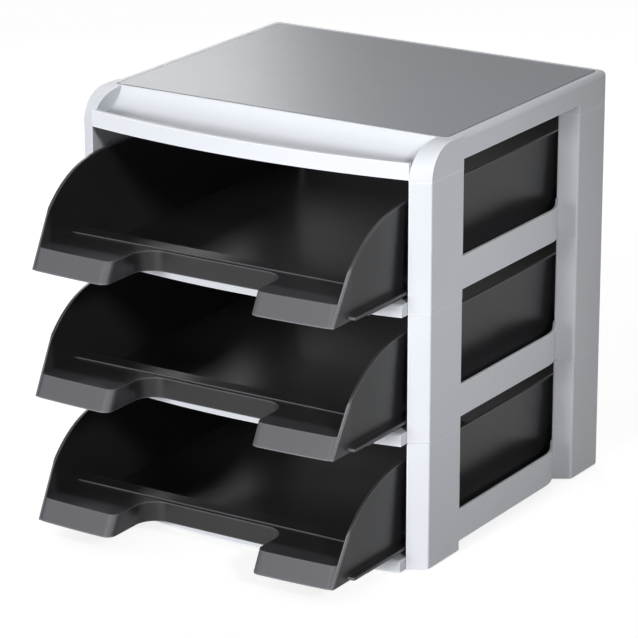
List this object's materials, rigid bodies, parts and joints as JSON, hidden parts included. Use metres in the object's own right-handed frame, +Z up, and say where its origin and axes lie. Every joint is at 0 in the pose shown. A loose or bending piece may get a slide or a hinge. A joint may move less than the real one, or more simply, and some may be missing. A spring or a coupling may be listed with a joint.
{
  "type": "letter tray stack with drawers",
  "caption": "Stacked desk organizer: open-fronted letter trays slide in a plug-together frame with side windows, under a flat top with a pen trough.",
  "frame": {"origin": "under the middle of the footprint at rest, on the surface that the feet stand on", "axes": "+X to the right seen from the front, +Y from the tray fronts to the back, +Z up"},
  "size_m": [0.29, 0.3524, 0.3073],
  "materials": {
    "frame_plastic": "satin silver-grey moulded polystyrene with a fine grain",
    "panel_plastic": "smooth silver-grey moulded plate, semi-gloss",
    "tray_plastic": "black moulded polystyrene, polished inside and finely grained on the grip lugs",
    "foot_rubber": "matt black rubber"
  },
  "bodies": {
    "frame": {"upper_side_left": "frame_plastic", "upper_side_right": "frame_plastic", "upper_front_bar": "frame_plastic", "upper_rear_bar": "frame_plastic", "middle_side_left": "frame_plastic", "middle_side_right": "frame_plastic", "middle_front_bar": "frame_plastic", "middle_rear_bar": "frame_plastic", "lower_side_left": "frame_plastic", "lower_side_right": "frame_plastic", "lower_front_bar": "frame_plastic", "lower_rear_bar": "frame_plastic", "top_cap": "frame_plastic", "top_panel": "panel_plastic", "rubber_foot_front_left": "foot_rubber", "rubber_foot_front_right": "foot_rubber", "rubber_foot_rear_left": "foot_rubber", "rubber_foot_rear_right": "foot_rubber"},
    "upper_drawer": {"upper_tray": "tray_plastic"},
    "middle_drawer": {"middle_tray": "tray_plastic"},
    "lower_drawer": {"lower_tray": "tray_plastic"}
  },
  "joints": [
    {"name": "upper_tray_slide", "type": "slide", "parent": "frame", "child": "upper_drawer", "axis": [0, -1, 0], "range_m": [0, 0.195]},
    {"name": "middle_tray_slide", "type": "slide", "parent": "frame", "child": "middle_drawer", "axis": [0, -1, 0], "range_m": [0, 0.195]},
    {"name": "lower_tray_slide", "type": "slide", "parent": "frame", "child": "lower_drawer", "axis": [0, -1, 0], "range_m": [0, 0.195]}
  ]
}
